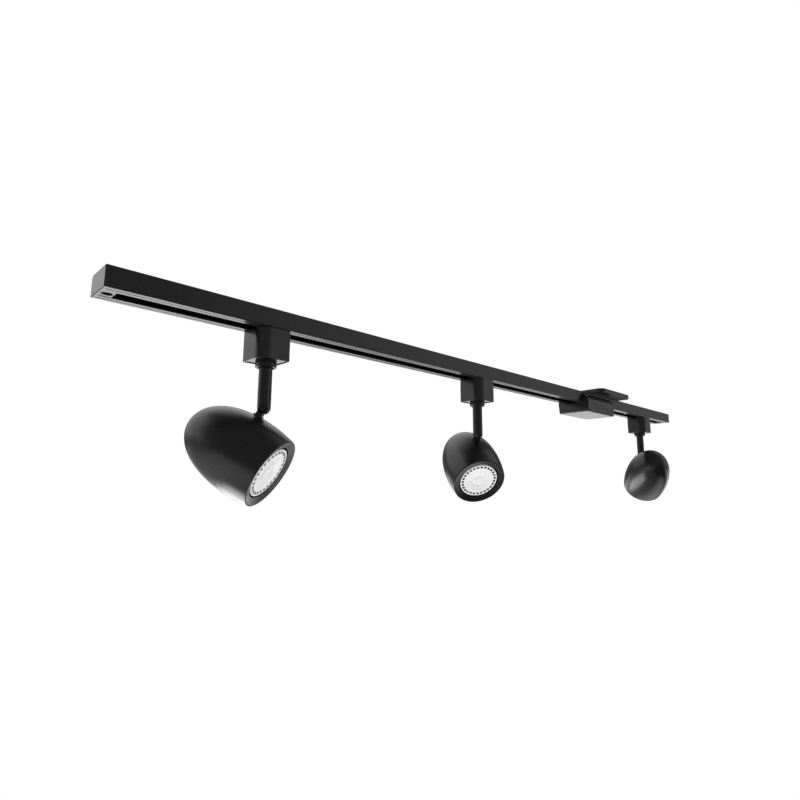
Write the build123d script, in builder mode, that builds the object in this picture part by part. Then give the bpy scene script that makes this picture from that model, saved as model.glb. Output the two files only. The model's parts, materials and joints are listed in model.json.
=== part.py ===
"""Ceiling track light: a slotted track under a canopy, with three aimed bullet heads.

Millimetres, +Z up. The origin is the middle of the canopy's ceiling face, and +X runs along
the track towards its far end.
"""
import os

from build123d import *

os.makedirs("parts", exist_ok=True)

# Clearances
slide_gap = 0.3
seat_gap = 0.05
running_gap = 0.05
swivel_gap = 0.3

# Canopy over the outlet box
canopy_length = 108.0
canopy_width = 78.0
canopy_depth = 7.0
canopy_corner_radius = 9.0
canopy_edge_radius = 0.8
canopy_wall = 1.2
canopy_boss_diameter = 10.0
crossbar_end_gap = 2.0
crossbar_width = 22.0
crossbar_thickness = 2.0
crossbar_corner_radius = 4.0
outlet_hole_spacing = 88.9
outlet_hole_diameter = 4.6
wire_hole_diameter = 9.0
wire_hole_offset = 15.0
canopy_screw_spacing = 60.0
canopy_screw_diameter = 4.0
canopy_screw_head_diameter = 7.4
canopy_screw_tip = 2.0

# Track
track_length = 1118.0
track_far_reach = 295.0
track_width = 34.9
track_height = 18.3
track_wall = 1.6
track_flange = 2.0
track_slot_width = 15.4
track_edge_radius = 0.8
track_key_radius = 3.5
flange_groove_width = 1.0
flange_groove_depth = 0.3
ceiling_hole_inset = 59.0
ceiling_hole_diameter = 4.5

# Liners and copper strips inside the track
insulator_depth = 4.5
insulator_height = 10.6
insulator_top_gap = 1.0
conductor_depth = 1.2
conductor_height = 3.2

# End caps
cap_plate = 2.6
cap_edge = 0.5
cap_tongue_inset = 0.25
cap_recess_length = 8.8
cap_recess_width = 7.0
cap_recess_end = 2.8
cap_recess_depth = 9.0
cap_recess_wall = 0.9
cap_screw_diameter = 3.0
cap_screw_head_diameter = 4.6
cap_screw_head_height = 1.8

# Locking lug of the feed and of each adapter
neck_side_gap = 0.65
lug_length = 10.0
lug_side_gap = 1.05
lug_top_room = 3.3
contact_length = 5.0
contact_height = 2.4
contact_root = 5.5
contact_nose = 0.8
wire_bore_diameter = 6.0

# Feed box astride the track
feed_offset = 37.0
feed_length = 95.0
feed_width = 53.0
feed_top_width = 59.0
feed_side_drop = 2.5
feed_shoulder_radius = 16.0
feed_depth_below = 16.7
feed_wall = 2.0
feed_web = 2.0
feed_corner_radius = 1.2
feed_cover_thickness = 2.2
feed_cover_edge = 0.7
feed_post_diameter = 8.0
feed_post_inset = 7.0
feed_screw_diameter = 3.0
feed_screw_head_diameter = 5.6
feed_screw_length = 9.0
terminal_length = 44.0
terminal_width = 26.0
terminal_height = 9.0
terminal_screw_diameter = 4.0
terminal_screw_spacing = 14.0
terminal_screw_depth = 5.0

# Adapter blocks
adapter_length = 32.0
adapter_width = 33.0
adapter_height = 29.9
adapter_wall = 2.0
adapter_floor = 2.6
adapter_round_radius = 11.0
adapter_sharp_radius = 1.2
adapter_edge_radius = 0.3
adapter_rim_width = 0.9
adapter_rim_depth = 0.7
carrier_height = 12.0

# Swivel collar and stem
collar_diameter = 20.0
collar_height = 6.0
collar_edge = 0.4
collar_recess_diameter = 15.8
collar_recess_depth = 1.6
sleeve_diameter = 14.0
sleeve_rise = 1.0
stem_diameter = 12.7
stem_neck_diameter = 9.8
stem_bore_diameter = 5.0
stem_length = 38.2
stem_nut_width = 15.0
stem_nut_height = 4.0
stem_thread_rise = 1.0
fork_slot_width = 5.2
fork_room = 0.5
pivot_screw_diameter = 3.0
pivot_screw_head_diameter = 5.6
pivot_screw_head_depth = 1.6
pivot_screw_recess = 2.0

# Knuckle
tongue_thickness = 4.6
tongue_eye_radius = 3.4
tongue_pad_diameter = 11.0
tongue_pad_height = 1.4
tongue_stud_diameter = 4.0
tongue_rivet_diameter = 7.0
tongue_rivet_height = 1.4
tongue_rivet_gap = 0.4
spot_face_depth = 0.6

# Bullet head, with stations measured backwards from its front plane
knuckle_reach = 9.3
head_ahead = 41.9
head_length = 95.1
head_radius = 38.2
head_mouth_radius = 35.0
head_widest = 29.0
head_wall = 2.0
head_lip = 1.4
head_ledge = 1.6
head_rim_radius = 0.9
side_fullness = 0.644
tail_fullness = 0.548

# Funnel ring in the mouth
ring_lamp_gap = 1.9
ring_fall = 2.4
ring_depth = 4.4

# Reflector lamp and its socket
lamp_radius = 25.1
lamp_inset = 2.4
lamp_band_depth = 4.2
lamp_band_width = 4.9
lamp_lens_depth = 2.2
lamp_lens_inset = 0.6
lamp_lens_crown = 0.4
lamp_waist_station = 38.0
lamp_waist_radius = 17.0
lamp_base_radius = 13.4
lamp_base_station = 48.5
vent_count = 27
vent_edge = 1.5
vent_length = 2.9
vent_width = 3.4
vent_depth = 2.4
pin_spacing = 10.0
pin_shaft_diameter = 3.0
pin_head_diameter = 5.0
pin_shaft_length = 4.0
pin_head_length = 2.6
holder_radius = 14.0
holder_length = 17.0
holder_pin_hole_depth = 8.0
post_diameter = 7.5
post_spacing = 19.0
holder_screw_diameter = 3.0
holder_screw_head_diameter = 5.4
holder_screw_head_depth = 2.4
holder_screw_recess = 5.0
holder_screw_bite = 8.0

# Where the three heads hang, measured from the track's ends, and how each is aimed
left_station = 150.6
middle_station = 475.7
right_station = 115.5
left_pan = -52.1
middle_pan = -119.2
right_pan = 42.0
left_tilt = 32.6
middle_tilt = 40.3
right_tilt = 37.4

# Levels and places that follow from the sizes above
near_end = track_far_reach - track_length
far_end = track_far_reach
track_top = -canopy_depth
track_bottom = track_top - track_height
track_middle = (track_top + track_bottom) / 2
crossbar_length = canopy_length - 2 * canopy_wall - 2 * crossbar_end_gap
web_underside = track_top - track_wall
flange_top = track_bottom + track_flange
cavity_width = track_width - 2 * track_wall
cavity_height = web_underside - flange_top
channel_start = near_end + cap_plate
channel_length = track_length - 2 * cap_plate
insulator_face = cavity_width / 2 - insulator_depth
insulator_middle = web_underside - insulator_top_gap - insulator_height / 2
cap_tongue_length = cap_recess_end + cap_recess_length + cap_recess_wall - cap_plate
neck_diameter = track_slot_width - 2 * neck_side_gap
lug_span = 2 * insulator_face - 2 * lug_side_gap
lug_height = cavity_height - lug_top_room
cap_screw_places = [
    near_end + cap_recess_end + cap_recess_length / 2,
    far_end - cap_recess_end - cap_recess_length / 2,
]
feed_middle = -feed_offset
feed_top = track_top - feed_side_drop
feed_bottom = track_bottom - feed_depth_below
feed_seam = feed_bottom + feed_cover_thickness
feed_pocket_top = feed_top - feed_shoulder_radius / 2
feed_ceiling = track_bottom - feed_web
feed_screw_spacing = feed_length - 2 * feed_wall - 2 * feed_post_inset
feed_pocket_inside = track_width / 2 + seat_gap + feed_wall
feed_pocket_outside = feed_width / 2 - feed_wall
adapter_top = track_bottom - slide_gap
adapter_bottom = adapter_top - adapter_height
adapter_underside = adapter_bottom + adapter_rim_depth
collar_bottom = adapter_bottom - collar_height
sleeve_top = adapter_bottom + adapter_floor + sleeve_rise
shoulder = collar_bottom - swivel_gap
pivot_height = shoulder - stem_length
stem_nut_bottom = sleeve_top + swivel_gap
stem_top = stem_nut_bottom + stem_nut_height + stem_thread_rise
stem_radius = stem_diameter / 2
ring_inner_radius = lamp_radius + ring_lamp_gap
lamp_lens_radius = lamp_radius - lamp_band_width


def outside_of_head(radius, mouth, widest, length, start):
    """Half outline of a bullet, from its mouth at start to the tip of its tail."""
    run = length - widest
    side = ThreePointArc(
        (start, mouth),
        ((start + widest) / 2, radius - (radius - mouth) / 4),
        (widest, radius),
    )
    tail = Bezier(
        (widest, radius),
        (widest + side_fullness * run, radius),
        (length, tail_fullness * radius),
        (length, 0),
    )
    return side, tail


def across_track(x):
    """Plane across the track at x, with its own x along +Y and its own y upwards."""
    return Plane.YZ.offset(x)


def behind_front(station):
    """Plane across the head at a station behind its front, facing the tail."""
    return Plane(origin=(head_ahead - station, 0, -head_drop), x_dir=(0, 1, 0), z_dir=(-1, 0, 0))


with BuildLine() as half_outline:
    outside_of_head(head_radius, head_mouth_radius, head_widest, head_length, 0)
radius_under_pivot = half_outline.line.intersect(Axis((head_ahead, 0), (0, 1))).vertices()[0].Y
head_drop = knuckle_reach + radius_under_pivot

head_plane = Plane(origin=(head_ahead, 0, -head_drop), x_dir=(-1, 0, 0), z_dir=(0, 1, 0))
head_axis = Axis((head_ahead, 0, -head_drop), (-1, 0, 0))


def sunk_screw(diameter, head_diameter, length):
    """Countersunk screw hanging from the middle of its flat head."""
    sink = (head_diameter - diameter) / 2
    with BuildPart() as screw:
        with BuildSketch(Plane.XZ):
            with BuildLine():
                Polyline(
                    (0, 0),
                    (head_diameter / 2, 0),
                    (diameter / 2, -sink),
                    (diameter / 2, -length),
                    (0, -length),
                    close=True,
                )
            make_face()
        revolve(axis=Axis.Z)
    return screw.part


def pan_screw(diameter, head_diameter, head_height, length):
    """Screw with a flat round head, hanging from the middle of its bearing face."""
    with BuildPart() as screw:
        with BuildSketch():
            Circle(head_diameter / 2)
        extrude(amount=head_height)
        with BuildSketch():
            Circle(diameter / 2)
        extrude(amount=-length)
    return screw.part


# Canopy
with BuildPart() as canopy_pan:
    with BuildSketch(Plane.XY.offset(track_top)):
        RectangleRounded(canopy_length, canopy_width, canopy_corner_radius)
    extrude(amount=canopy_depth)
    fillet(canopy_pan.faces().sort_by(Axis.Z)[0].edges(), radius=canopy_edge_radius)
    with BuildSketch(Plane.XY.offset(track_top + canopy_wall)):
        RectangleRounded(
            canopy_length - 2 * canopy_wall,
            canopy_width - 2 * canopy_wall,
            canopy_corner_radius - canopy_wall,
        )
    extrude(amount=canopy_depth - canopy_wall, mode=Mode.SUBTRACT)
    with BuildSketch(Plane.XY.offset(track_top + canopy_wall)):
        with GridLocations(canopy_screw_spacing, 0, 2, 1):
            Circle(canopy_boss_diameter / 2)
    extrude(amount=canopy_depth - canopy_wall - crossbar_thickness)
    with GridLocations(canopy_screw_spacing, 0, 2, 1):
        Hole(canopy_screw_diameter / 2 + seat_gap)
    with Locations((-wire_hole_offset, 0)):
        Hole(wire_hole_diameter / 2)

with BuildPart() as canopy_crossbar:
    with BuildSketch(Plane.XY.offset(-crossbar_thickness)):
        RectangleRounded(crossbar_length, crossbar_width, crossbar_corner_radius)
        with GridLocations(outlet_hole_spacing, 0, 2, 1):
            Circle(outlet_hole_diameter / 2, mode=Mode.SUBTRACT)
        with Locations((-wire_hole_offset, 0)):
            Circle(wire_hole_diameter / 2, mode=Mode.SUBTRACT)
    extrude(amount=crossbar_thickness)
    with GridLocations(canopy_screw_spacing, 0, 2, 1):
        CounterSinkHole(canopy_screw_diameter / 2 + seat_gap, canopy_screw_head_diameter / 2 + seat_gap)

with BuildPart() as canopy_screws:
    with GridLocations(canopy_screw_spacing, 0, 2, 1):
        add(sunk_screw(canopy_screw_diameter, canopy_screw_head_diameter, canopy_screw_tip - web_underside))


# Track
def track_outline():
    """Outside of the track's section, with one rounded corner that marks its polarity side."""
    with BuildSketch() as outline:
        with Locations((0, track_middle)):
            Rectangle(track_width, track_height)
        key_corner = outline.vertices().sort_by(Axis.Y)[-2:].sort_by(Axis.X)[-1]
        fillet(key_corner, radius=track_key_radius)
        lower_corners = outline.vertices().sort_by(Axis.Y)[:2]
        fillet(lower_corners, radius=track_edge_radius)
        near_corner = outline.vertices().sort_by(Axis.X)[:2].sort_by(Axis.Y)[-1]
        fillet(near_corner, radius=track_edge_radius)
    return outline.sketch


flange_middle = (track_width + track_slot_width) / 4

with BuildPart() as track_channel:
    with BuildSketch(across_track(channel_start)):
        add(track_outline())
        with Locations((0, flange_top + cavity_height / 2)):
            Rectangle(cavity_width, cavity_height, mode=Mode.SUBTRACT)
        with Locations((0, track_bottom + track_flange / 2)):
            Rectangle(track_slot_width, track_flange, mode=Mode.SUBTRACT)
        with Locations((-flange_middle, track_bottom), (flange_middle, track_bottom)):
            Rectangle(flange_groove_width, 2 * flange_groove_depth, mode=Mode.SUBTRACT)
    extrude(amount=channel_length)
    with BuildSketch(Plane.XY.offset(track_top)):
        with Locations((near_end + ceiling_hole_inset, 0), (far_end - ceiling_hole_inset, 0)):
            Circle(ceiling_hole_diameter / 2)
        with GridLocations(canopy_screw_spacing, 0, 2, 1):
            Circle(canopy_screw_diameter / 2 + seat_gap)
        with Locations((-wire_hole_offset, 0)):
            Circle(wire_hole_diameter / 2)
        with Locations(*[(x, 0) for x in cap_screw_places]):
            Circle(cap_screw_diameter / 2 + seat_gap)
    extrude(amount=-track_wall, mode=Mode.SUBTRACT)

with BuildPart() as track_insulators:
    with BuildSketch(across_track(channel_start)):
        with Locations((insulator_face + insulator_depth / 2, insulator_middle)):
            Rectangle(insulator_depth, insulator_height)
        with Locations((insulator_face + conductor_depth / 2, insulator_middle)):
            Rectangle(conductor_depth, conductor_height + 2 * seat_gap, mode=Mode.SUBTRACT)
        mirror(about=Plane.YZ)
    extrude(amount=channel_length)

with BuildPart() as track_conductors:
    with BuildSketch(across_track(channel_start + seat_gap)):
        with Locations((insulator_face + conductor_depth / 2, insulator_middle)):
            Rectangle(conductor_depth, conductor_height)
        mirror(about=Plane.YZ)
    extrude(amount=channel_length - 2 * seat_gap)


# End caps
def end_cap(face, inward, screw_place):
    """Cap on one end of the track: inward is +1 for the near end and -1 for the far end."""
    plug_width = 2 * insulator_face - 2 * seat_gap
    tongue_width = track_slot_width - 2 * seat_gap
    tongue_height = track_flange - cap_tongue_inset
    with BuildPart() as cap:
        with BuildSketch(across_track(face)):
            add(track_outline())
        extrude(amount=inward * cap_plate)
        chamfer(cap.faces().sort_by(Axis((0, 0, 0), (inward, 0, 0)))[0].edges(), length=cap_edge)
        with BuildSketch(across_track(face + inward * cap_plate)):
            with Locations((0, flange_top + cavity_height / 2)):
                Rectangle(plug_width, cavity_height)
            with Locations((0, flange_top - tongue_height / 2)):
                Rectangle(tongue_width, tongue_height)
        extrude(amount=inward * cap_tongue_length)
        with BuildSketch(Plane.XY.offset(track_bottom)):
            with Locations((screw_place, 0)):
                SlotOverall(cap_recess_length, cap_recess_width)
        extrude(amount=cap_recess_depth, mode=Mode.SUBTRACT)
        with BuildSketch(Plane.XY.offset(track_bottom)):
            with Locations((screw_place, 0)):
                Circle(cap_screw_diameter / 2 + seat_gap)
        extrude(amount=web_underside - track_bottom, mode=Mode.SUBTRACT)
    return cap.part


near_end_cap = end_cap(near_end, 1, cap_screw_places[0])
far_end_cap = end_cap(far_end, -1, cap_screw_places[1])

cap_screw_seat = track_bottom + cap_recess_depth
cap_screw = pan_screw(
    cap_screw_diameter,
    cap_screw_head_diameter,
    cap_screw_head_height,
    track_top - cap_screw_seat,
)
with BuildPart() as end_cap_screws:
    with Locations(*[Location((x, 0, cap_screw_seat), (180, 0, 0)) for x in cap_screw_places]):
        add(cap_screw)


# Locking lug, shared by the feed and the adapters
def lock_in_track(neck_foot, lug_gap):
    """Neck from neck_foot up through the slot, and the lug that lies across the flanges."""
    lug_bottom = flange_top + lug_gap
    contact_reach = lug_span / 2 - contact_root
    with Locations((0, 0, neck_foot)):
        Cylinder(neck_diameter / 2, lug_bottom - neck_foot, align=(Align.CENTER, Align.CENTER, Align.MIN))
    with Locations((0, 0, lug_bottom)):
        Box(lug_length, lug_span, lug_height, align=(Align.CENTER, Align.CENTER, Align.MIN))
    for side in (-1, 1):
        with Locations((0, side * (contact_root + contact_reach / 2), insulator_middle)):
            Box(
                contact_length + 2 * seat_gap,
                contact_reach,
                contact_height + 2 * seat_gap,
                mode=Mode.SUBTRACT,
            )


def contact_blades(tip_gap):
    """Two brass blades that reach from the lug to the copper strips."""
    reach = insulator_face - tip_gap - contact_root
    with BuildPart() as blades:
        with BuildSketch(Plane.XY.offset(insulator_middle - contact_height / 2)) as blade:
            with Locations((0, contact_root + reach / 2)):
                Rectangle(contact_length, reach)
            fillet(blade.vertices().sort_by(Axis.Y)[-2:], radius=contact_nose)
            mirror(about=Plane.XZ)
        extrude(amount=contact_height)
    return blades.part


# Feed box
with BuildPart() as feed_housing:
    with BuildSketch(across_track(-feed_length / 2)):
        with BuildLine():
            Polyline(
                (-feed_width / 2, feed_seam),
                (feed_width / 2, feed_seam),
                (feed_top_width / 2, feed_top),
                (-feed_top_width / 2, feed_top),
                close=True,
            )
        make_face()
    extrude(amount=feed_length)
    shoulder_edges = feed_housing.edges().filter_by(Axis.X).group_by(Axis.Z)[-1]
    fillet(shoulder_edges, radius=feed_shoulder_radius)
    upright_edges = feed_housing.edges().filter_by(Axis.X, reverse=True).filter_by(Axis.Y, reverse=True)
    fillet(upright_edges, radius=feed_corner_radius)
    with BuildSketch(Plane.XY.offset(track_bottom)):
        Rectangle(feed_length, track_width + 2 * seat_gap)
    extrude(amount=track_height, mode=Mode.SUBTRACT)
    with BuildSketch(Plane.XY.offset(feed_seam)):
        Rectangle(feed_length - 2 * feed_wall, feed_width - 2 * feed_wall)
        with GridLocations(feed_screw_spacing, 0, 2, 1):
            Circle(feed_post_diameter / 2, mode=Mode.SUBTRACT)
    extrude(amount=feed_ceiling - feed_seam, mode=Mode.SUBTRACT)
    with BuildSketch(Plane.XY.offset(feed_ceiling)):
        with GridLocations(0, feed_pocket_outside + feed_pocket_inside, 1, 2):
            Rectangle(feed_length - 2 * feed_wall, feed_pocket_outside - feed_pocket_inside)
    extrude(amount=feed_pocket_top - feed_ceiling, mode=Mode.SUBTRACT)
    with BuildSketch(Plane.XY.offset(feed_seam)):
        with GridLocations(feed_screw_spacing, 0, 2, 1):
            Circle(feed_screw_diameter / 2 + seat_gap)
    extrude(amount=feed_screw_length, mode=Mode.SUBTRACT)
    with BuildSketch(Plane.XY.offset(feed_ceiling)):
        Circle(neck_diameter / 2 + seat_gap)
    extrude(amount=feed_web, mode=Mode.SUBTRACT)

with BuildPart() as feed_cover:
    with BuildSketch(Plane.XY.offset(feed_bottom)):
        RectangleRounded(feed_length, feed_width, feed_corner_radius)
    extrude(amount=feed_cover_thickness)
    chamfer(feed_cover.faces().sort_by(Axis.Z)[0].edges(), length=feed_cover_edge)
    with BuildSketch(Plane.XY.offset(feed_bottom)):
        with GridLocations(feed_screw_spacing, 0, 2, 1):
            Circle(feed_screw_head_diameter / 2 + seat_gap)
    extrude(
        amount=(feed_screw_head_diameter - feed_screw_diameter) / 2,
        taper=45,
        mode=Mode.SUBTRACT,
    )
    with BuildSketch(Plane.XY.offset(feed_bottom)):
        with GridLocations(feed_screw_spacing, 0, 2, 1):
            Circle(feed_screw_diameter / 2 + seat_gap)
    extrude(amount=feed_cover_thickness, mode=Mode.SUBTRACT)

feed_screw = sunk_screw(feed_screw_diameter, feed_screw_head_diameter, feed_screw_length)
feed_screw_places = [
    Location((x, 0, feed_bottom), (180, 0, 0)) for x in (-feed_screw_spacing / 2, feed_screw_spacing / 2)
]
with BuildPart() as feed_cover_screws:
    with Locations(*feed_screw_places):
        add(feed_screw)

with BuildPart() as feed_terminal_block:
    with BuildSketch(Plane.XY.offset(feed_ceiling - terminal_height)):
        Rectangle(terminal_length, terminal_width)
    extrude(amount=terminal_height)
    lock_in_track(feed_ceiling, 0)
    with BuildSketch(Plane.XY.offset(feed_ceiling - terminal_height)):
        with GridLocations(terminal_screw_spacing, terminal_screw_spacing, 2, 2):
            Circle(terminal_screw_diameter / 2)
    extrude(amount=terminal_screw_depth, mode=Mode.SUBTRACT)

feed_contacts = contact_blades(seat_gap)


# Adapter: the block that slides along the track
def adapter_outline(inset):
    """Block outline with two opposite corners well rounded, drawn inset from the outside."""
    with BuildSketch() as outline:
        Rectangle(adapter_length - 2 * inset, adapter_width - 2 * inset)
        corners = outline.vertices().sort_by(Axis((0, 0, 0), (1, 1, 0)))
        fillet([corners[0], corners[-1]], radius=adapter_round_radius - inset)
        diagonal = Axis((0, 0, 0), (1, -1, 0))
        corners = outline.vertices().sort_by(diagonal)
        fillet([corners[0], corners[-1]], radius=adapter_sharp_radius)
    return outline.sketch


with BuildPart() as adapter_housing:
    with BuildSketch(Plane.XY.offset(adapter_bottom)):
        add(adapter_outline(0))
    extrude(amount=adapter_height)
    fillet(adapter_housing.faces().sort_by(Axis.Z)[0].edges(), radius=adapter_edge_radius)
    with BuildSketch(Plane.XY.offset(adapter_bottom)):
        add(adapter_outline(adapter_rim_width))
    extrude(amount=adapter_rim_depth, mode=Mode.SUBTRACT)
    with BuildSketch(Plane.XY.offset(adapter_bottom + adapter_floor)):
        add(adapter_outline(adapter_wall))
    extrude(amount=adapter_height - adapter_floor, mode=Mode.SUBTRACT)
    with BuildSketch(Plane.XY.offset(adapter_bottom)):
        Circle(sleeve_diameter / 2 + seat_gap)
    extrude(amount=adapter_floor, mode=Mode.SUBTRACT)

with BuildPart() as adapter_carrier:
    with BuildSketch(Plane.XY.offset(adapter_top - carrier_height)):
        add(adapter_outline(adapter_wall + seat_gap))
    extrude(amount=carrier_height)
    lock_in_track(adapter_top, slide_gap)
    with BuildSketch(Plane.XY.offset(adapter_top - carrier_height)):
        Circle(wire_bore_diameter / 2)
    extrude(amount=carrier_height, mode=Mode.SUBTRACT)

adapter_contacts = contact_blades(slide_gap)

with BuildPart() as swivel_collar:
    with BuildSketch(Plane.XY.offset(collar_bottom)):
        Circle(collar_diameter / 2)
    extrude(amount=adapter_underside - collar_bottom)
    chamfer(swivel_collar.faces().sort_by(Axis.Z)[0].edges(), length=collar_edge)
    with BuildSketch(Plane.XY.offset(collar_bottom)):
        Circle(collar_recess_diameter / 2)
    extrude(amount=collar_recess_depth, mode=Mode.SUBTRACT)
    with BuildSketch(Plane.XY.offset(adapter_bottom)):
        Circle(sleeve_diameter / 2)
    extrude(amount=sleeve_top - adapter_bottom)
    with BuildSketch(Plane.XY.offset(collar_bottom)):
        Circle(stem_neck_diameter / 2 + running_gap)
    extrude(amount=sleeve_top - collar_bottom, mode=Mode.SUBTRACT)


# Stem: turns in the collar, with a round foot centred on the tilt axis and forked at its back
fork_slot_front = tongue_eye_radius + fork_room
fork_slot_top = pivot_height + fork_slot_front
with BuildPart() as stem:
    with BuildSketch(Plane.XZ):
        with BuildLine():
            Polyline(
                (stem_radius, pivot_height),
                (stem_radius, shoulder),
                (stem_neck_diameter / 2, shoulder),
                (stem_neck_diameter / 2, stem_top),
                (0, stem_top),
                (0, pivot_height - stem_radius),
            )
            JernArc((0, pivot_height - stem_radius), (1, 0), stem_radius, 90)
        make_face()
    revolve(axis=Axis.Z)
    with Locations((fork_slot_front, 0, fork_slot_top)):
        Box(
            stem_diameter,
            fork_slot_width,
            stem_diameter,
            align=(Align.MAX, Align.CENTER, Align.MAX),
            mode=Mode.SUBTRACT,
        )
    with BuildSketch(Plane.XY.offset(fork_slot_top)):
        Circle(stem_bore_diameter / 2)
    extrude(amount=stem_top - fork_slot_top, mode=Mode.SUBTRACT)
    with BuildSketch(Plane.XZ):
        with Locations((0, pivot_height)):
            Circle(pivot_screw_diameter / 2 + seat_gap)
    extrude(amount=stem_radius, both=True, mode=Mode.SUBTRACT)
    with BuildSketch(Plane.XZ.offset(stem_radius - pivot_screw_recess)):
        with Locations((0, pivot_height)):
            Circle(pivot_screw_head_diameter / 2 + seat_gap)
    extrude(amount=pivot_screw_recess, mode=Mode.SUBTRACT)

with BuildPart() as stem_nut:
    with BuildSketch(Plane.XY.offset(stem_nut_bottom)):
        RegularPolygon(stem_nut_width / 2, 6, major_radius=False)
        Circle(stem_neck_diameter / 2 + seat_gap, mode=Mode.SUBTRACT)
    extrude(amount=stem_nut_height)

pivot_screw_length = 2 * stem_radius - 2 * pivot_screw_recess
with BuildPart() as pivot_screw:
    with Locations(Location((0, pivot_screw_recess - stem_radius, pivot_height), (90, 0, 0))):
        add(
            pan_screw(
                pivot_screw_diameter,
                pivot_screw_head_diameter,
                pivot_screw_head_depth,
                pivot_screw_length,
            )
        )


# Bullet head, drawn about the tilt axis with its front along +X
ring_pocket_radius = head_mouth_radius - head_lip
mouth_ledge_radius = ring_pocket_radius - head_ledge
hollow_length = head_length - head_wall
holder_back = lamp_base_station + holder_length

with BuildPart() as bullet:
    with BuildSketch(head_plane):
        with BuildLine():
            outside_of_head(head_radius, head_mouth_radius, head_widest, head_length, 0)
            Polyline((head_length, 0), (0, 0), (0, head_mouth_radius))
        make_face()
    revolve(axis=head_axis)
    fillet(bullet.faces().sort_by(Axis.X)[-1].edges(), radius=head_rim_radius)

with BuildPart() as hollow:
    with BuildSketch(head_plane):
        with BuildLine():
            outside_of_head(
                head_radius - head_wall, mouth_ledge_radius, head_widest, hollow_length, ring_depth
            )
            Polyline((hollow_length, 0), (ring_depth, 0), (ring_depth, mouth_ledge_radius))
        make_face()
    revolve(axis=head_axis)

with BuildPart() as socket_posts:
    with BuildSketch(behind_front(holder_back)):
        with GridLocations(0, post_spacing, 1, 2):
            Circle(post_diameter / 2)
    extrude(amount=head_length - holder_back)
    add(bullet.part, mode=Mode.INTERSECT)


def top_under_pivot(body):
    """Height of a body's upper surface straight below the tilt axis."""
    plumb_line = Edge.make_line((0, 0, 0), (0, 0, -head_drop))
    return plumb_line.intersect(body).vertices().sort_by(Axis.Z)[-1].Z


spot_face = top_under_pivot(bullet.part) - spot_face_depth
tongue_pad_top = spot_face + tongue_pad_height
rivet_top = top_under_pivot(hollow.part) - tongue_rivet_gap

with BuildPart() as head_shell:
    add(bullet.part)
    add(hollow.part, mode=Mode.SUBTRACT)
    with BuildSketch(behind_front(0)):
        Circle(ring_pocket_radius)
    extrude(amount=ring_depth, mode=Mode.SUBTRACT)
    add(socket_posts.part)
    with BuildSketch(behind_front(holder_back)):
        with GridLocations(0, post_spacing, 1, 2):
            Circle(holder_screw_diameter / 2 + seat_gap)
    extrude(amount=holder_screw_bite, mode=Mode.SUBTRACT)
    with BuildSketch(Plane.XY.offset(spot_face)):
        Circle(tongue_pad_diameter / 2 + seat_gap)
    extrude(amount=tongue_pad_height, mode=Mode.SUBTRACT)
    with BuildSketch(Plane.XY.offset(spot_face)):
        Circle(tongue_stud_diameter / 2 + seat_gap)
    extrude(amount=rivet_top - spot_face, mode=Mode.SUBTRACT)

with BuildPart() as knuckle_tongue:
    with BuildSketch(Plane.XZ):
        Circle(tongue_eye_radius)
        with Locations((0, tongue_pad_top / 2)):
            Rectangle(2 * tongue_eye_radius, -tongue_pad_top)
        Circle(pivot_screw_diameter / 2 + running_gap, mode=Mode.SUBTRACT)
    extrude(amount=tongue_thickness / 2, both=True)
    with BuildSketch(Plane.XY.offset(spot_face)):
        Circle(tongue_pad_diameter / 2)
    extrude(amount=tongue_pad_height)
    with BuildSketch(Plane.XY.offset(rivet_top)):
        Circle(tongue_stud_diameter / 2)
    extrude(amount=spot_face - rivet_top)
    with BuildSketch(Plane.XY.offset(rivet_top)):
        Circle(tongue_rivet_diameter / 2)
    extrude(amount=-tongue_rivet_height)

with BuildPart() as front_ring:
    with BuildSketch(head_plane):
        with BuildLine():
            Polyline(
                (ring_fall, ring_inner_radius),
                (ring_depth, ring_inner_radius),
                (ring_depth, ring_pocket_radius - seat_gap),
                (0, ring_pocket_radius - seat_gap),
                close=True,
            )
        make_face()
    revolve(axis=head_axis)


# Lamp and socket
lens_front = lamp_inset + lamp_lens_inset
lens_back = lens_front + lamp_lens_depth
lens_pocket_radius = lamp_lens_radius + seat_gap
vent_radius = lamp_radius - vent_edge - vent_length / 2
holder_screw_seat = lamp_base_station + holder_screw_recess

with BuildPart() as lamp_body:
    with BuildSketch(head_plane):
        with BuildLine():
            Polyline(
                (lens_back, 0),
                (lens_back, lens_pocket_radius),
                (lamp_inset, lens_pocket_radius),
                (lamp_inset, lamp_radius),
                (lamp_inset + lamp_band_depth, lamp_radius),
                (lamp_waist_station, lamp_waist_radius),
                (lamp_waist_station, lamp_base_radius),
                (lamp_base_station, lamp_base_radius),
                (lamp_base_station, 0),
                close=True,
            )
        make_face()
    revolve(axis=head_axis)
    with BuildSketch(behind_front(lamp_inset)):
        with PolarLocations(vent_radius, vent_count):
            Rectangle(vent_length, vent_width)
    extrude(amount=vent_depth, mode=Mode.SUBTRACT)

with BuildPart() as lamp_lens:
    with BuildSketch(head_plane):
        with BuildLine():
            Polyline((lens_front - lamp_lens_crown, 0), (lens_back, 0), (lens_back, lamp_lens_radius))
            Line((lens_back, lamp_lens_radius), (lens_front, lamp_lens_radius))
            TangentArc(
                (lens_front - lamp_lens_crown, 0), (lens_front, lamp_lens_radius), tangent=(0, 1)
            )
        make_face()
    revolve(axis=head_axis)

with BuildPart() as lamp_pins:
    with BuildSketch(behind_front(lamp_base_station)):
        with GridLocations(pin_spacing, 0, 2, 1):
            Circle(pin_shaft_diameter / 2)
    extrude(amount=pin_shaft_length)
    with BuildSketch(behind_front(lamp_base_station + pin_shaft_length)):
        with GridLocations(pin_spacing, 0, 2, 1):
            Circle(pin_head_diameter / 2)
    extrude(amount=pin_head_length)

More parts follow.
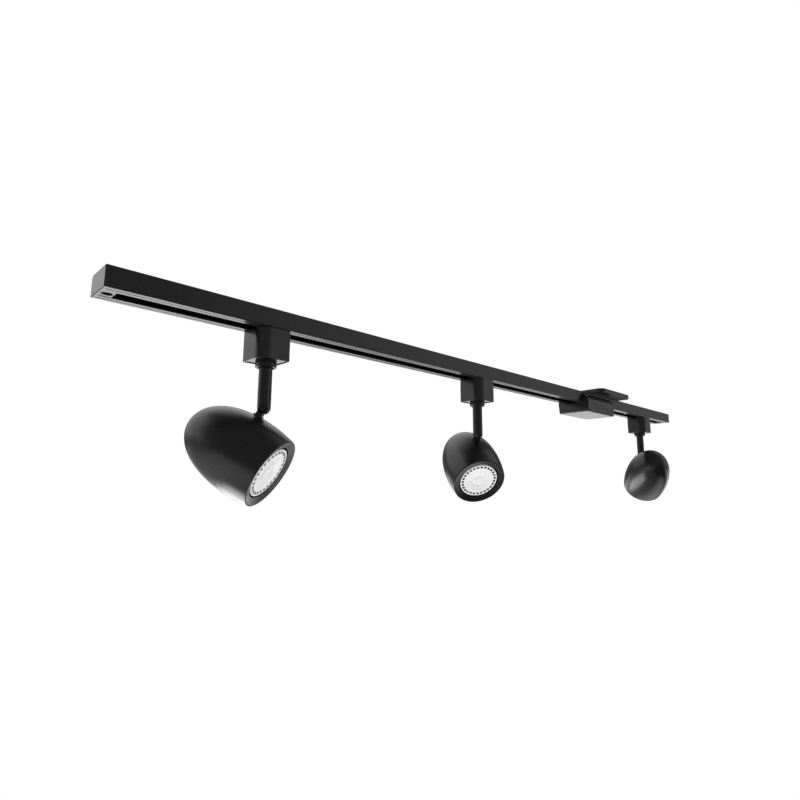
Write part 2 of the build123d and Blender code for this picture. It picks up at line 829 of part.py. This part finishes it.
with BuildPart() as lamp_holder:
    with BuildSketch(behind_front(lamp_base_station)):
        Circle(holder_radius)
        with GridLocations(0, post_spacing, 1, 2):
            Circle(holder_screw_diameter / 2 + seat_gap, mode=Mode.SUBTRACT)
    extrude(amount=holder_length)
    with BuildSketch(behind_front(lamp_base_station)):
        with GridLocations(pin_spacing, 0, 2, 1):
            Circle(pin_head_diameter / 2 + seat_gap)
    extrude(amount=holder_pin_hole_depth, mode=Mode.SUBTRACT)
    with BuildSketch(behind_front(lamp_base_station)):
        with GridLocations(0, post_spacing, 1, 2):
            Circle(holder_screw_head_diameter / 2 + seat_gap)
    extrude(amount=holder_screw_recess, mode=Mode.SUBTRACT)

holder_screw = pan_screw(
    holder_screw_diameter,
    holder_screw_head_diameter,
    holder_screw_head_depth,
    holder_length - holder_screw_recess + holder_screw_bite,
)
holder_screw_places = [
    Plane(origin=(head_ahead - holder_screw_seat, 0, side * post_spacing / 2 - head_drop), z_dir=(1, 0, 0))
    for side in (-1, 1)
]
with BuildPart() as holder_screws:
    with Locations(*holder_screw_places):
        add(holder_screw)


# Every piece in its place
def write(piece, label, where=Location()):
    """Write one piece, placed where it sits on the fixture."""
    with BuildPart() as placed:
        with Locations(where):
            add(piece)
    placed.part.label = label
    export_step(placed.part, f"parts/{label}.step")


ceiling_pieces = {
    "canopy_pan": canopy_pan.part,
    "canopy_crossbar": canopy_crossbar.part,
    "canopy_screws": canopy_screws.part,
    "track_channel": track_channel.part,
    "track_insulators": track_insulators.part,
    "track_conductors": track_conductors.part,
    "near_end_cap": near_end_cap,
    "far_end_cap": far_end_cap,
    "end_cap_screws": end_cap_screws.part,
}
feed_pieces = {
    "feed_housing": feed_housing.part,
    "feed_cover": feed_cover.part,
    "feed_cover_screws": feed_cover_screws.part,
    "feed_terminal_block": feed_terminal_block.part,
    "feed_contacts": feed_contacts,
}
sliding_pieces = {
    "adapter_housing": adapter_housing.part,
    "adapter_carrier": adapter_carrier.part,
    "adapter_contacts": adapter_contacts,
    "swivel_collar": swivel_collar.part,
}
turning_pieces = {
    "stem": stem.part,
    "stem_nut": stem_nut.part,
    "pivot_screw": pivot_screw.part,
}
tilting_pieces = {
    "knuckle_tongue": knuckle_tongue.part,
    "head_shell": head_shell.part,
    "front_ring": front_ring.part,
    "lamp_holder": lamp_holder.part,
    "holder_screws": holder_screws.part,
    "lamp_body": lamp_body.part,
    "lamp_lens": lamp_lens.part,
    "lamp_pins": lamp_pins.part,
}
heads = {
    "left": (near_end + left_station, left_pan, left_tilt),
    "middle": (near_end + middle_station, middle_pan, middle_tilt),
    "right": (far_end - right_station, right_pan, right_tilt),
}

for label, piece in ceiling_pieces.items():
    write(piece, label)
for label, piece in feed_pieces.items():
    write(piece, label, Pos(X=feed_middle))
for side, (station, pan, tilt) in heads.items():
    on_track = Pos(X=station)
    on_swivel = on_track * Rot(Z=pan)
    on_pivot = on_swivel * Pos(Z=pivot_height) * Rot(Y=tilt)
    for label, piece in sliding_pieces.items():
        write(piece, f"{side}_{label}", on_track)
    for label, piece in turning_pieces.items():
        write(piece, f"{side}_{label}", on_swivel)
    for label, piece in tilting_pieces.items():
        write(piece, f"{side}_{label}", on_pivot)
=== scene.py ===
"""Track light: finishes, lamp fronts, cross-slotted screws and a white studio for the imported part."""
import json
import math

import bmesh
import bpy
from mathutils import Matrix, Vector


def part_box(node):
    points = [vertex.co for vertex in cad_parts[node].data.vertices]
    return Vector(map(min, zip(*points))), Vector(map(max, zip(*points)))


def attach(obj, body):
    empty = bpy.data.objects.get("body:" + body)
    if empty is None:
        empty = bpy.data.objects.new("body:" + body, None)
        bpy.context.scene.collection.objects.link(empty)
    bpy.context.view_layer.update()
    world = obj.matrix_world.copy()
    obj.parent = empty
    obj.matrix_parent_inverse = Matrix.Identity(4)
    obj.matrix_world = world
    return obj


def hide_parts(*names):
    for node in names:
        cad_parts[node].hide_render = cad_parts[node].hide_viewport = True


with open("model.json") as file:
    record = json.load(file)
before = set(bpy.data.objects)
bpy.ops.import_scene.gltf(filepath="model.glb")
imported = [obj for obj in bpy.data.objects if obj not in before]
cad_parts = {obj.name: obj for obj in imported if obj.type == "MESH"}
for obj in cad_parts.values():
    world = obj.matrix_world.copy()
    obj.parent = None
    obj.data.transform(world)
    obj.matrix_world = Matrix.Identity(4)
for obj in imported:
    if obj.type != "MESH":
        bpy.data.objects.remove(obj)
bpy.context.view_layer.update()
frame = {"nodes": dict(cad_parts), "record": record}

nodes = frame["nodes"]
record = frame["record"]
slot_of_node = {part["node"]: part["material_slot"] for part in record["subparts"]}
joint_of_name = {joint["name"]: joint for joint in record["behaviour"]["joints"]}
sides = ("left", "middle", "right")

# Camera: place, the way it looks, and its lens
camera_place = Vector((-0.9371, -0.4582, -0.1802))
camera_right = Vector((0.71813, -0.69589, 0.00399))
camera_forward = Vector((0.68532, 0.70819, 0.16969))
camera_lens = 24.77
sensor_width = 36.0
camera_near_clip = 0.01

# Modelling: how squarely a picked face looks along an axis, the angle past which an edge stays sharp, turns
square_on = 0.9
crease_angle = math.radians(40)
quarter_turn = math.pi / 2
half_turn = math.pi

# Lamp front: the vents of its white band with the painted-shade blocks sunk in them, then the lens
vent_count = 27
vent_radius = 0.02215
vent_length = 0.0028
vent_width = 0.0033
vent_sink = 0.00005
vent_depth = 0.002
vent_frame = 0.0004
lens_step_radius = 0.0165
lens_step = 0.00012
lens_disc_radius = 0.0078
lens_groove_width = 0.0007
lens_groove_depth = 0.00025
lens_sides = 96

# Screws: shank, head and crossed recess, as shares of the head where they scale with it
shank_radius = 0.0015
pan_head_height = 0.0016
sunk_head_height = 0.0013
recess_reach = 1.25
recess_width = 0.26
recess_share = 0.7
screw_sides = 48
pan_edge_divisor = 3
pan_edge_steps = 3

# Finishes: darkest and lightest tint
coat_tints = ((0.006,) * 3, (0.009,) * 3)
moulded_tints = ((0.008,) * 3, (0.011,) * 3)
copper_tints = ((0.6, 0.3, 0.2), (0.72, 0.4, 0.28))
brass_tints = ((0.7, 0.5, 0.25), (0.78, 0.6, 0.32))
zinc_tints = ((0.5,) * 3, (0.62,) * 3)
ceramic_tints = ((0.8, 0.79, 0.75), (0.86, 0.85, 0.82))
lamp_tints = ((0.87,) * 3, (0.91,) * 3)
lens_tints = ((0.86,) * 3, (0.9,) * 3)
# The vent tints are painted shade: near-black for the blocks that stand in for the dark inside of the
# lamp's vents
vent_shade_tints = ((0.012,) * 3, (0.02,) * 3)

# Finishes: smoothest and roughest gloss, and the refractive index of a skin
coat_gloss = (0.24, 0.3)
steel_gloss = (0.22, 0.28)
moulded_gloss = (0.2, 0.26)
matt_gloss = (0.5, 0.6)
metal_gloss = (0.25, 0.4)
zinc_gloss = (0.25, 0.45)
lamp_gloss = (0.35, 0.45)
lens_gloss = 0.3
coat_index = 1.5
moulded_index = 1.56

# Finishes: grains per metre and their height, then what all grains, mottling and pebbles share
coat_grain = (1400, 3e-6)
moulded_grain = (2600, 3e-6)
matt_grain = (900, 2e-5)
metal_grain = (900, 1e-5)
lamp_grain = (1200, 1e-5)
grain_detail = 3
grain_roughness = 0.6
grain_strength = 0.25
grain_reach = (0.3, 0.7)
mottle_scale = 60
mottle_detail = 4
pebble_scale = 420
pebble_height = 3e-4
pebble_strength = 0.35
pebble_reach = (0.2, 0.8)

# Floor as the metal mirrors it: brightness of each part, and where along x and y it sets in and ends
floor_level = -1.1
floor_size = 40.0
floor_white = 0.9
west_floor_level = 1.0
west_floor_x = (-1.0, -2.0)
west_south_y = (-3.0, -0.5)
west_south_share = 0.2
west_north_y = (1.0, 3.5)
west_north_share = 0.3
north_floor_level = 1.5
north_floor_x = (-0.6, 0.6)
north_floor_y = (2.0, 3.2)
far_floor_level = 1.4
far_floor_x = (1.5, 4.5)
plain_floor_level = 0.5
plain_floor_y = (-1.4, 0.2)
east_floor_level = 1.3
east_floor_x = (2.0, 4.0)
east_floor_y = (-6.0, -3.5)

# Room as the metal mirrors it: brightness of each wall, and the directions in which it sets in and ends
wall_level = 0.9
wall_y = (0.1, 0.55)
wall_foot = (-0.05, 0.28)
wall_top = (0.72, 0.95)
wall_lift = 0.25
wall_lift_x = (-0.25, 0.15)
wall_end_level = 0.2
wall_end_x = (0.6, 0.9)
upper_wall_share = 1.4
upper_wall_z = (0.45, 0.75)
side_level = 0.46
side_x = (0.2, 0.7)
side_y = (0.25, -0.1)
side_end_level = 0.35
side_end_x = (0.75, 0.97)
room_level = 0.17
ceiling_level = 0.14
ceiling_z = (0.6, 0.95)

# Soft boxes: place, turn, width and height, and brightness
pool_behind_place = (-0.34, 1.35, -1.05)
pool_behind_turn = (half_turn, 0, math.radians(59))
pool_behind_size = (2.2, 1.1)
pool_behind_radiance = 4.8
pool_in_front_place = (0.9, -0.15, -1.05)
pool_in_front_turn = (half_turn, 0, 0)
pool_in_front_size = (1.1, 1.7)
pool_in_front_radiance = 0.85
front_fill_place = (-0.7, -2.0, -0.6)
front_fill_turn = (math.radians(80), 0, 0)
front_fill_size = (2.0, 1.6)
front_fill_radiance = 2.3


# Frames of the three heads
def head_frame(side):
    """Frame of one head at rest: origin on its tilt axis, x along its aim, y along the axis."""
    tilt = joint_of_name[f"{side}_tilt"]
    axis = Vector(tilt["axis"])
    level_aim = axis.cross(Vector((0, 0, 1)))
    turn = Matrix((level_aim, axis, (0, 0, 1))).transposed()
    dip = Matrix.Rotation(math.radians(-tilt["range_deg"][0]), 3, "Y")
    return Matrix.Translation(tilt["pos_m"]) @ (turn @ dip).to_4x4()


def span(node, place):
    """Lowest and highest corner of a CAD node, measured in the frame given by place."""
    inward = place.inverted()
    points = [inward @ vertex.co for vertex in nodes[node].data.vertices]
    low = Vector([min(point[k] for point in points) for k in range(3)])
    high = Vector([max(point[k] for point in points) for k in range(3)])
    return low, high


# Hand tools
def clear_selection():
    """Object mode with nothing selected."""
    if bpy.context.object and bpy.context.object.mode != "OBJECT":
        bpy.ops.object.mode_set(mode="OBJECT")
    bpy.ops.object.select_all(action="DESELECT")


def pick_faces(piece, wanted):
    """Select the faces whose normals pass a test, in edit mode."""
    bpy.ops.mesh.select_mode(type="FACE")
    bpy.ops.mesh.select_all(action="DESELECT")
    mesh = bmesh.from_edit_mesh(piece.data)
    for face in mesh.faces:
        face.select_set(wanted(face.normal))
    bmesh.update_edit_mesh(piece.data)


def settle(piece, place):
    """Put a piece where it belongs and leave its object at the origin."""
    clear_selection()
    piece.select_set(True)
    bpy.context.view_layer.objects.active = piece
    piece.matrix_world = place @ piece.matrix_world
    bpy.ops.object.transform_apply(location=True, rotation=True, scale=True)


def dress(piece, name, body, slot, material, *stands_for):
    """Name a finished piece, paint it and hang it on its body."""
    piece.name = name
    piece.data.name = name
    piece.data.materials.clear()
    piece.data.materials.append(material)
    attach(piece, body)
    if stands_for:
        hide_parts(*stands_for)


def join_copies(piece, places):
    """Copy a piece to each place, each with its own mesh, and join them into one."""
    copies = []
    for place in places:
        copy = piece.copy()
        copy.data = piece.data.copy()
        copy.matrix_world = place @ piece.matrix_world
        bpy.context.collection.objects.link(copy)
        copies.append(copy)
    bpy.data.objects.remove(piece)
    clear_selection()
    for copy in copies:
        copy.select_set(True)
    bpy.context.view_layer.objects.active = copies[0]
    bpy.ops.object.join()
    return copies[0]


# Material nodes
def new_material(name):
    """Empty node material with a shader, its output and object coordinates."""
    material = bpy.data.materials.new(name)
    material.use_nodes = True
    tree = material.node_tree
    shader = tree.nodes["Principled BSDF"]
    place = tree.nodes.new("ShaderNodeTexCoord").outputs["Object"]
    return material, tree, shader, place


def noise(tree, place, scale, detail, roughness=0.5):
    """Cloudy pattern on object coordinates: scale is grains per metre."""
    node = tree.nodes.new("ShaderNodeTexNoise")
    node.inputs["Scale"].default_value = scale
    node.inputs["Detail"].default_value = detail
    node.inputs["Roughness"].default_value = roughness
    tree.links.new(place, node.inputs["Vector"])
    return node.outputs["Fac"]


def ramp(tree, value, start, stop, low=0.0, high=1.0):
    """Smooth step from low at start to high at stop."""
    node = tree.nodes.new("ShaderNodeMapRange")
    node.interpolation_type = "SMOOTHSTEP"
    node.inputs["From Min"].default_value = start
    node.inputs["From Max"].default_value = stop
    node.inputs["To Min"].default_value = low
    node.inputs["To Max"].default_value = high
    tree.links.new(value, node.inputs["Value"])
    return node.outputs["Result"]


def combine(tree, operation, first, *others):
    """Chain values with one arithmetic operation."""
    result = first
    for other in others:
        node = tree.nodes.new("ShaderNodeMath")
        node.operation = operation
        tree.links.new(result, node.inputs[0])
        tree.links.new(other, node.inputs[1])
        result = node.outputs[0]
    return result


def tint(tree, pattern, dark, light):
    """Blend two colours by a pattern."""
    node = tree.nodes.new("ShaderNodeMix")
    node.data_type = "RGBA"
    node.inputs["A"].default_value = (*dark, 1)
    node.inputs["B"].default_value = (*light, 1)
    tree.links.new(pattern, node.inputs["Factor"])
    return node.outputs["Result"]


def relief(tree, pattern, height, strength):
    """Fine bumps from a pattern."""
    node = tree.nodes.new("ShaderNodeBump")
    node.inputs["Strength"].default_value = strength
    node.inputs["Distance"].default_value = height
    tree.links.new(pattern, node.inputs["Height"])
    return node.outputs["Normal"]


# Finishes
def coated(name, tints, gloss, grain, metallic=0.0, gloss_index=coat_index):
    """Coated or moulded surface: faint mottling, uneven gloss and a fine grain."""
    material, tree, shader, place = new_material(name)
    grain_scale, grain_height = grain
    mottle = noise(tree, place, mottle_scale, mottle_detail)
    speck = noise(tree, place, grain_scale, grain_detail, grain_roughness)
    tree.links.new(tint(tree, mottle, *tints), shader.inputs["Base Color"])
    tree.links.new(ramp(tree, speck, *grain_reach, *gloss), shader.inputs["Roughness"])
    tree.links.new(relief(tree, speck, grain_height, grain_strength), shader.inputs["Normal"])
    shader.inputs["Metallic"].default_value = metallic
    shader.inputs["IOR"].default_value = gloss_index
    return material


def frosted_lens():
    """White lens with a pebbled face."""
    material, tree, shader, place = new_material("frosted_lens")
    pebble = tree.nodes.new("ShaderNodeTexVoronoi")
    pebble.feature = "SMOOTH_F1"
    pebble.inputs["Scale"].default_value = pebble_scale
    tree.links.new(place, pebble.inputs["Vector"])
    cells = pebble.outputs["Distance"]
    colour = tint(tree, ramp(tree, cells, *pebble_reach), *lens_tints)
    tree.links.new(colour, shader.inputs["Base Color"])
    tree.links.new(relief(tree, cells, pebble_height, pebble_strength), shader.inputs["Normal"])
    shader.inputs["Roughness"].default_value = lens_gloss
    return material


finishes = {
    "black_aluminium": coated("satin_black_coat", coat_tints, coat_gloss, coat_grain),
    "black_steel": coated("satin_black_steel", coat_tints, steel_gloss, coat_grain),
    "black_plastic": coated(
        "moulded_black", moulded_tints, moulded_gloss, moulded_grain, gloss_index=moulded_index),
    "liner_plastic": coated("liner_black", coat_tints, matt_gloss, matt_grain),
    "copper": coated("drawn_copper", copper_tints, metal_gloss, metal_grain, metallic=1.0),
    "brass": coated("stamped_brass", brass_tints, metal_gloss, metal_grain, metallic=1.0),
    "zinc_steel": coated("zinc_plate", zinc_tints, zinc_gloss, metal_grain, metallic=1.0),
    "socket_ceramic": coated("socket_ceramic", ceramic_tints, matt_gloss, matt_grain),
    "lamp_white": coated("lamp_white", lamp_tints, lamp_gloss, lamp_grain),
    "lamp_lens": frosted_lens(),
}
# Painted shade: the near-black finish of the blocks in the lamp's vents
painted_vent_shade = coated("painted_vent_shade", vent_shade_tints, matt_gloss, lamp_grain)
for name, node in nodes.items():
    node.data.materials.clear()
    node.data.materials.append(finishes[slot_of_node[name]])


# Lamp fronts
def lamp_face(side):
    """Frosted lens: a plain edge, a shallow step and a disc in a fine groove."""
    place = head_frame(side)
    low, high = span(f"{side}_lamp_lens", place)
    radius = (high.y - low.y) / 2
    depth = high.x - low.x
    half_groove = lens_groove_width / 2
    clear_selection()
    bpy.ops.mesh.primitive_cylinder_add(vertices=lens_sides, radius=radius, depth=depth)
    lens = bpy.context.object
    bpy.ops.object.mode_set(mode="EDIT")
    pick_faces(lens, lambda normal: normal.z > square_on)
    bpy.ops.mesh.inset(thickness=radius - lens_step_radius, depth=0)
    bpy.ops.mesh.inset(thickness=half_groove, depth=-lens_step)
    bpy.ops.mesh.inset(thickness=lens_step_radius - half_groove - lens_disc_radius, depth=0)
    bpy.ops.mesh.inset(thickness=half_groove, depth=-lens_groove_depth)
    bpy.ops.mesh.inset(thickness=half_groove, depth=lens_groove_depth)
    bpy.ops.mesh.inset(thickness=lens_disc_radius / 2, depth=lens_step)
    bpy.ops.object.mode_set(mode="OBJECT")
    bpy.ops.object.shade_smooth_by_angle(angle=crease_angle)
    facing = Matrix.Rotation(quarter_turn, 4, "Y")
    middle = Vector((high.x - depth / 2, 0, (low.z + high.z) / 2))
    settle(lens, place @ Matrix.Translation(middle) @ facing)
    finish = finishes["lamp_lens"]
    dress(lens, f"{side}_lamp_face", f"{side}_head", "lamp_lens", finish, f"{side}_lamp_lens")


def lamp_vent_shade(side):
    """Painted shade: near-black blocks sunk in the slots of the lamp's white band, standing in for the dark
    inside of its vents.
    """
    place = head_frame(side)
    low, high = span(f"{side}_lamp_body", place)
    front = high.x - vent_sink
    axis_height = (low.z + high.z) / 2
    clear_selection()
    bpy.ops.mesh.primitive_cube_add(size=1)
    vent_shade_block = bpy.context.object
    vent_shade_block.scale = (vent_depth, vent_length, vent_width)
    vent_shade_block.location = (front - vent_depth / 2, vent_radius, 0)
    bpy.ops.object.transform_apply(location=True, rotation=True, scale=True)
    bpy.ops.object.mode_set(mode="EDIT")
    pick_faces(vent_shade_block, lambda normal: normal.x > square_on)
    bpy.ops.mesh.inset(thickness=vent_frame, depth=0)
    bpy.ops.mesh.inset(thickness=vent_frame, depth=-vent_depth / 2)
    bpy.ops.object.mode_set(mode="OBJECT")
    turns = [Matrix.Rotation(2 * math.pi * k / vent_count, 4, "X") for k in range(vent_count)]
    vent_shade_blocks = join_copies(vent_shade_block, turns)
    settle(vent_shade_blocks, place @ Matrix.Translation((0, 0, axis_height)))
    dress(vent_shade_blocks, f"{side}_lamp_vent_shade", f"{side}_head", "black_plastic", painted_vent_shade)


for side in sides:
    lamp_face(side)
    lamp_vent_shade(side)


# Screws
def cross_screw(radius, head_height, length, sunk):
    """Screw with a crossed recess: the top of its head at the origin, its shank downwards."""
    clear_selection()
    centre = (0, 0, -head_height / 2)
    bpy.ops.mesh.primitive_cylinder_add(
        vertices=screw_sides, radius=radius, depth=head_height, location=centre)
    screw = bpy.context.object
    bpy.ops.object.transform_apply(location=True, rotation=True, scale=True)
    bpy.ops.object.mode_set(mode="EDIT")
    pick_faces(screw, lambda normal: normal.z < -square_on)
    if sunk:
        shrink = shank_radius / radius
        bpy.ops.transform.resize(value=(shrink, shrink, 1))
    else:
        bpy.ops.mesh.inset(thickness=radius - shank_radius, depth=0)
    bpy.ops.mesh.extrude_region_move(TRANSFORM_OT_translate={"value": (0, 0, head_height - length)})
    if not sunk:
        pick_faces(screw, lambda normal: normal.z > square_on)
        bpy.ops.mesh.bevel(offset=head_height / pan_edge_divisor, segments=pan_edge_steps, affect="EDGES")
    bpy.ops.object.mode_set(mode="OBJECT")
    for turn in (0, quarter_turn):
        clear_selection()
        bpy.ops.mesh.primitive_cube_add(size=1, rotation=(0, 0, turn))
        bar = bpy.context.object
        bar.scale = (recess_reach * radius, recess_width * radius, 2 * recess_share * head_height)
        bpy.ops.object.transform_apply(location=True, rotation=True, scale=True)
        recess = screw.modifiers.new("recess", "BOOLEAN")
        recess.operation = "DIFFERENCE"
        recess.object = bar
        clear_selection()
        screw.select_set(True)
        bpy.context.view_layer.objects.active = screw
        bpy.ops.object.modifier_apply(modifier="recess")
        bpy.data.objects.remove(bar)
    bpy.ops.object.shade_smooth_by_angle(angle=crease_angle)
    return screw


def screws_from_below(node, name, head_height, sunk):
    """Two black screws along the track with their heads down, in place of a CAD node."""
    low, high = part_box(node)
    radius = (high.y - low.y) / 2
    screw = cross_screw(radius, head_height, high.z - low.z, sunk)
    head_down = Matrix.Rotation(half_turn, 4, "X")
    places = [Matrix.Translation((x, 0, low.z)) @ head_down for x in (low.x + radius, high.x - radius)]
    pair = join_copies(screw, places)
    settle(pair, Matrix.Identity(4))
    dress(pair, name, "root", "black_steel", finishes["black_steel"], node)


def pivot_screw(side):
    """Cross screw through one knuckle, its head towards the tilt axis's start."""
    node = f"{side}_pivot_screw"
    place = head_frame(side)
    low, high = span(node, place)
    screw = cross_screw((high.x - low.x) / 2, pan_head_height, high.y - low.y, False)
    head_aside = Matrix.Rotation(quarter_turn, 4, "X")
    settle(screw, place @ Matrix.Translation((0, low.y, 0)) @ head_aside)
    slot = slot_of_node[node]
    dress(screw, f"{side}_cross_screw", f"{side}_stem", slot, finishes[slot], node)


screws_from_below("feed_cover_screws", "feed_cross_screws", sunk_head_height, True)
screws_from_below("end_cap_screws", "end_cap_cross_screws", pan_head_height, False)
for side in sides:
    pivot_screw(side)


# Studio
def add_camera():
    """Camera low in front of the track's near end, looking up along it."""
    bpy.ops.object.camera_add(location=camera_place)
    camera = bpy.context.object
    camera.name = "photo_camera"
    up = camera_right.cross(camera_forward)
    turn = Matrix((camera_right, up, -camera_forward)).transposed()
    camera.rotation_euler = turn.to_euler()
    camera.data.lens = camera_lens
    camera.data.sensor_width = sensor_width
    camera.data.clip_start = camera_near_clip
    bpy.context.scene.camera = camera


def seen_directly(tree):
    """1 where the camera looks, 0 for every other ray."""
    return tree.nodes.new("ShaderNodeLightPath").outputs["Is Camera Ray"]


def add_floor():
    """White floor far below the track, brightest behind it and to its near end's side."""
    bpy.ops.mesh.primitive_plane_add(size=floor_size, location=(0, 0, floor_level))
    floor = bpy.context.object
    floor.name = "studio_floor"
    material, tree, diffuse, place = new_material("white_floor")
    diffuse.inputs["Base Color"].default_value = (floor_white, floor_white, floor_white, 1)
    diffuse.inputs["Roughness"].default_value = 1.0
    split = tree.nodes.new("ShaderNodeSeparateXYZ")
    tree.links.new(place, split.inputs[0])
    x, y, _ = split.outputs
    west_reach = ramp(tree, x, *west_floor_x, 0.0, west_floor_level)
    west_south = ramp(tree, y, *west_south_y, west_south_share, 1.0)
    west_north = ramp(tree, y, *west_north_y, 1.0, west_north_share)
    west = combine(tree, "MULTIPLY", west_reach, west_south, west_north)
    north_edge = ramp(tree, y, *north_floor_y)
    north_start = ramp(tree, x, *north_floor_x)
    north_level = ramp(tree, x, *far_floor_x, north_floor_level, far_floor_level)
    north = combine(tree, "MULTIPLY", north_edge, north_start, north_level)
    plain = ramp(tree, y, *plain_floor_y, 0.0, plain_floor_level)
    east_reach = ramp(tree, x, *east_floor_x, 0.0, east_floor_level)
    east = combine(tree, "MULTIPLY", east_reach, ramp(tree, y, *east_floor_y))
    lit = combine(tree, "MAXIMUM", west, north, plain, east, seen_directly(tree))
    white = tree.nodes.new("ShaderNodeEmission")
    tree.links.new(lit, white.inputs["Strength"])
    path = tree.nodes.new("ShaderNodeLightPath")
    rays = [path.outputs[f"Is {ray} Ray"] for ray in ("Camera", "Glossy", "Transmission")]
    mix = tree.nodes.new("ShaderNodeMixShader")
    tree.links.new(combine(tree, "MAXIMUM", *rays), mix.inputs["Fac"])
    tree.links.new(diffuse.outputs[0], mix.inputs[1])
    tree.links.new(white.outputs[0], mix.inputs[2])
    tree.links.new(mix.outputs[0], tree.nodes["Material Output"].inputs["Surface"])
    floor.data.materials.append(material)


def add_world():
    """White room: a bright wall behind the track, a paler one past its far end, dim elsewhere."""
    world = bpy.data.worlds.new("white_room")
    bpy.context.scene.world = world
    world.use_nodes = True
    tree = world.node_tree
    sky = tree.nodes["Background"]
    direction = tree.nodes.new("ShaderNodeTexCoord").outputs["Generated"]
    split = tree.nodes.new("ShaderNodeSeparateXYZ")
    tree.links.new(direction, split.inputs[0])
    x, y, z = split.outputs
    behind = ramp(tree, y, *wall_y)
    height = combine(tree, "SUBTRACT", z, ramp(tree, x, *wall_lift_x, 0.0, wall_lift))
    above_floor = ramp(tree, height, *wall_foot)
    below_ceiling = ramp(tree, height, *wall_top, wall_level, 0.0)
    near_end = ramp(tree, x, *wall_end_x, 1.0, wall_end_level)
    upper = ramp(tree, z, *upper_wall_z, 1.0, upper_wall_share)
    wall = combine(tree, "MULTIPLY", behind, above_floor, below_ceiling, near_end, upper)
    past_end = ramp(tree, x, *side_x, 0.0, side_level)
    past_far_end = ramp(tree, x, *side_end_x, 1.0, side_end_level)
    in_front = ramp(tree, y, *side_y)
    side = combine(tree, "MULTIPLY", past_end, past_far_end, in_front)
    dim = ramp(tree, z, *ceiling_z, room_level, ceiling_level)
    room = combine(tree, "ADD", wall, side, dim)
    level = combine(tree, "MAXIMUM", room, seen_directly(tree))
    tree.links.new(level, sky.inputs["Strength"])
    sky.inputs["Color"].default_value = (1, 1, 1, 1)


def add_softbox(name, place, turn, size, radiance, mirrored=True):
    """Area lamp that the camera doesn't see; radiance 1 looks white in a mirror."""
    width, height = size
    bpy.ops.object.light_add(type="AREA", location=place, rotation=turn)
    lamp = bpy.context.object
    lamp.name = name
    lamp.data.shape = "RECTANGLE"
    lamp.data.size = width
    lamp.data.size_y = height
    lamp.data.energy = radiance * width * height * math.pi
    lamp.visible_camera = False
    lamp.visible_glossy = mirrored


add_camera()
add_floor()
add_world()
add_softbox("pool_behind", pool_behind_place, pool_behind_turn, pool_behind_size, pool_behind_radiance)
add_softbox(
    "pool_in_front", pool_in_front_place, pool_in_front_turn, pool_in_front_size, pool_in_front_radiance)
add_softbox(
    "front_fill", front_fill_place, front_fill_turn, front_fill_size, front_fill_radiance, mirrored=False)

bpy.context.scene.view_settings.view_transform = "Standard"
